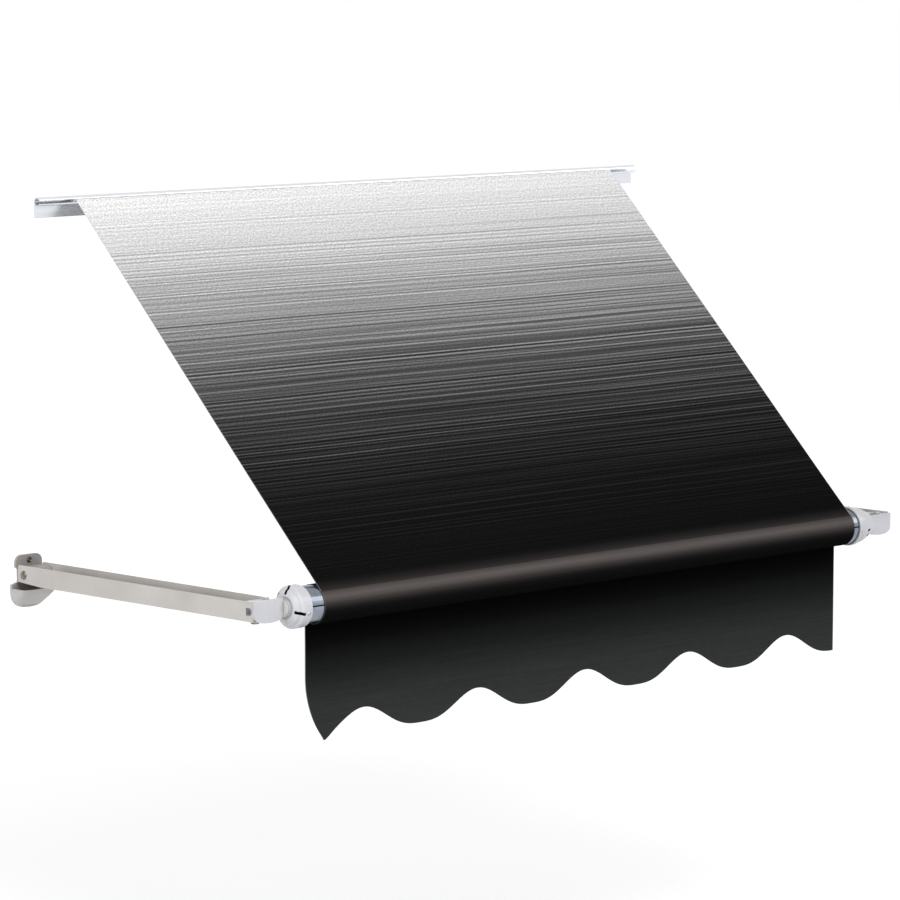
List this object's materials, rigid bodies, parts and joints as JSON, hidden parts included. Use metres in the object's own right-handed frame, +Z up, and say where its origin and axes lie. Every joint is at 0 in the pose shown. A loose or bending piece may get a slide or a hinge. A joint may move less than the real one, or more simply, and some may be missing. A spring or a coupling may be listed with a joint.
{
  "type": "window awning",
  "caption": "Fabric window awning: a sloping striped cloth on a spring roller with a scalloped valance, carried by two hinged channel arms.",
  "frame": {"origin": "middle of the flat back face of the wall rail", "axes": "+X along the wall and the rail, +Y into the wall, -Y out from it, +Z up"},
  "size_m": [1.6224, 0.67, 0.8765],
  "materials": {
    "rail_aluminium": "bright extruded",
    "tube_aluminium": "polished",
    "arm_paint": "satin warm grey",
    "white_plastic": "off-white, slightly glossy",
    "bracket_paint": "fine textured grey",
    "steel": "plain",
    "zinc_screw": "zinc plated",
    "nylon": "natural",
    "bead_plastic": "plain",
    "canopy_cloth": "coated weave, shading from white to black in fine stripes",
    "valance_cloth": "coated weave, near black"
  },
  "bodies": {
    "root": {"awning_rail": "rail_aluminium", "rail_screw_1": "zinc_screw", "rail_screw_2": "zinc_screw", "rail_screw_3": "zinc_screw", "rail_screw_4": "zinc_screw", "rail_screw_5": "zinc_screw", "rail_screw_6": "zinc_screw", "head_bead": "bead_plastic", "canopy": "canopy_cloth", "left_wall_bracket": "bracket_paint", "left_bracket_screw_1": "zinc_screw", "left_bracket_screw_2": "zinc_screw", "left_pivot_bush": "nylon", "right_wall_bracket": "bracket_paint", "right_bracket_screw_1": "zinc_screw", "right_bracket_screw_2": "zinc_screw", "right_pivot_bush": "nylon"},
    "left_arm": {"left_arm": "arm_paint", "left_arm_head": "white_plastic", "left_head_clip": "steel", "left_head_button": "white_plastic", "left_pivot_pin": "steel", "left_pivot_clip": "steel", "left_spindle": "steel", "left_thrust_washer": "nylon", "valance": "valance_cloth"},
    "right_arm": {"right_arm": "arm_paint", "right_arm_head": "white_plastic", "right_head_clip": "steel", "right_head_button": "white_plastic", "right_pivot_pin": "steel", "right_pivot_clip": "steel", "right_spindle": "steel", "right_thrust_washer": "nylon"},
    "roller": {"roller_tube": "tube_aluminium", "cloth_turns": "valance_cloth", "canopy_bead": "bead_plastic", "torsion_spring": "steel", "spring_plug": "white_plastic", "left_end_cap": "white_plastic", "left_cap_screw_1": "zinc_screw", "left_cap_screw_2": "zinc_screw", "left_cap_screw_3": "zinc_screw", "left_roller_bush": "nylon", "right_end_cap": "white_plastic", "right_cap_screw_1": "zinc_screw", "right_cap_screw_2": "zinc_screw", "right_cap_screw_3": "zinc_screw", "right_roller_bush": "nylon"}
  },
  "joints": [
    {"name": "left_arm_pivot", "type": "hinge", "parent": "root", "child": "left_arm", "pos_m": [-0.7691, -0.0245, -0.6265], "axis": [-1, 0, 0], "range_deg": [0, 86], "deforming": ["canopy", "valance"]},
    {"name": "right_arm_pivot", "type": "hinge", "parent": "root", "child": "right_arm", "pos_m": [0.7761, -0.0245, -0.6265], "axis": [-1, 0, 0], "range_deg": [0, 86]},
    {"name": "roller_spin", "type": "hinge", "parent": "left_arm", "child": "roller", "pos_m": [0, -0.6093, -0.6265], "axis": [1, 0, 0], "range_deg": [0, 1441]}
  ],
  "couplings": [
    {"joint": "right_arm_pivot", "follows": "left_arm_pivot", "ratio": 1},
    {"joint": "roller_spin", "follows": "left_arm_pivot", "ratio": 16.75}
  ]
}
